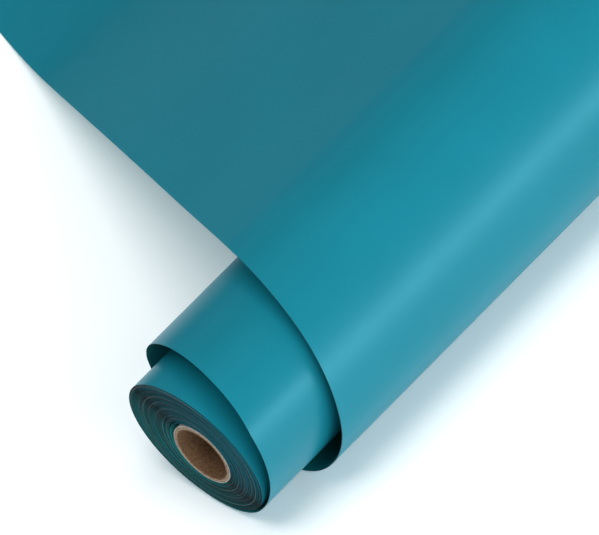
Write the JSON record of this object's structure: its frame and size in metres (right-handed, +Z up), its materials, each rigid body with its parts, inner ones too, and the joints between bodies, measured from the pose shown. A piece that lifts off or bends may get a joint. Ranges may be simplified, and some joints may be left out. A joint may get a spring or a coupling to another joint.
{
  "type": "roll of sign vinyl",
  "caption": "Part-used roll of teal sign vinyl on a paper core, with telescoped loose wraps and a lead that runs from its top down to the floor.",
  "frame": {"origin": "middle of the core's bore, on its axis, halfway along the roll", "axes": "+X along the core's axis away from the near end, +Y the way the lead leaves the roll, +Z up"},
  "size_m": [0.4537, 0.3083, 0.0924],
  "materials": {
    "vinyl_face": "satin",
    "release_liner": "matte",
    "wound_edge": "matte",
    "kraft_paper": "matte",
    "core_board": "matte",
    "white_paper": "matte"
  },
  "bodies": {
    "outer_wrap": {"outer_wrap_film": "vinyl_face", "outer_wrap_liner": "release_liner"},
    "lead": {"lead_film": "vinyl_face", "lead_liner": "release_liner"},
    "inner_wrap": {"inner_wrap_film": "vinyl_face", "inner_wrap_liner": "release_liner"},
    "wound_roll": {"wound_web": "wound_edge", "start_turn": "vinyl_face"},
    "core": {"core_inner_ply": "kraft_paper", "core_board": "core_board", "core_outer_ply": "white_paper"}
  },
  "joints": [
    {"name": "lead_lift", "type": "hinge", "parent": "outer_wrap", "child": "lead", "pos_m": [0, 0.02549, 0.0566], "axis": [1, 0, 0], "range_deg": [0, 30]},
    {"name": "telescope", "type": "slide", "parent": "outer_wrap", "child": "inner_wrap", "axis": [1, 0, 0], "range_m": [-0.012, 0.012]},
    {"name": "roll_turn", "type": "hinge", "parent": "inner_wrap", "child": "wound_roll", "pos_m": [0, 0.00353, 0.00137], "axis": [1, 0, 0], "range_deg": [-4, 4]},
    {"name": "core_turn", "type": "hinge", "parent": "wound_roll", "child": "core", "pos_m": [0, 0, 0], "axis": [1, 0, 0], "continuous": true}
  ]
}
